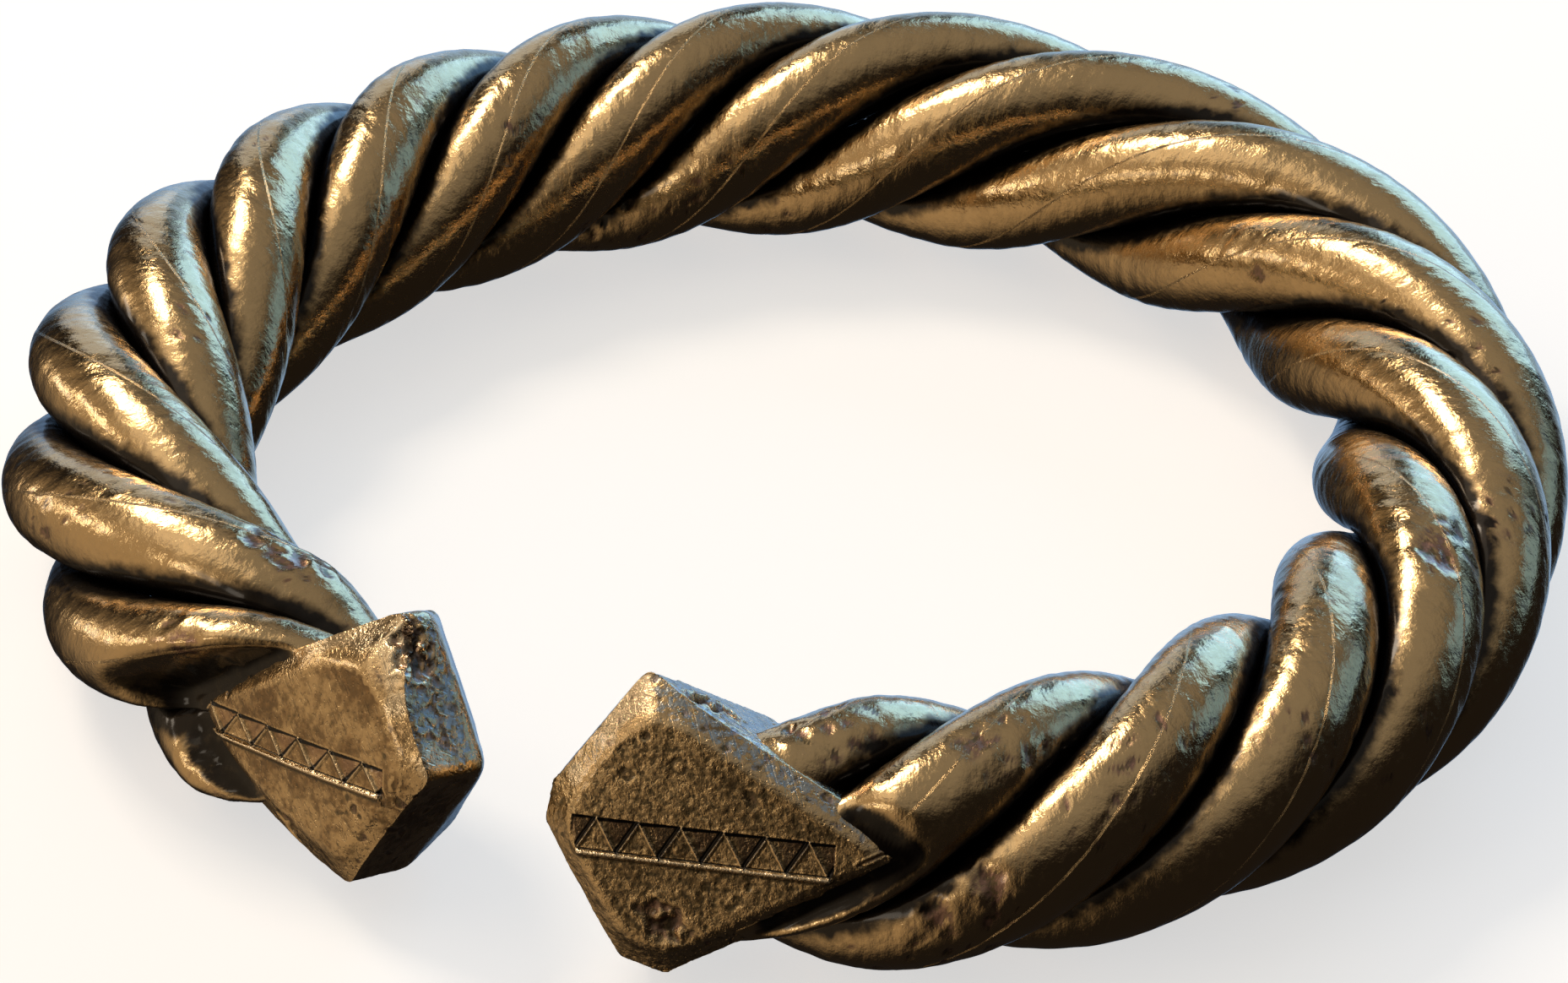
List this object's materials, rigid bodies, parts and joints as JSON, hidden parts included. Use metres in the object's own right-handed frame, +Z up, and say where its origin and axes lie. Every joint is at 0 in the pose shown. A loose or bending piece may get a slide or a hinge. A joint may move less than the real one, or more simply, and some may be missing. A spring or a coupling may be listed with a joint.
{
  "type": "twisted arm ring",
  "caption": "Open arm ring of thick bronze rods twisted as a rope, with a faceted kite-shaped knob on each end and a row of cut triangles on each knob.",
  "frame": {"origin": "centre of the bounding box's underside, on the surface that the ring lies on", "axes": "+Z up out of the ring's plane; +X across the ring's width; the mouth between the knobs opens towards -Y"},
  "size_m": [0.094, 0.0878, 0.0182],
  "materials": {
    "rod_bronze": "worn gold-brown bronze with dark hollows, fine hammer ripples and corrosion pits",
    "knob_bronze": "brown patinated bronze, worn bright along the edges, with cut lines"
  },
  "bodies": {
    "root": {"rod_1": "rod_bronze", "rod_2": "rod_bronze", "rod_3": "rod_bronze", "rod_4": "rod_bronze", "left_knob": "knob_bronze", "right_knob": "knob_bronze"}
  },
  "joints": []
}
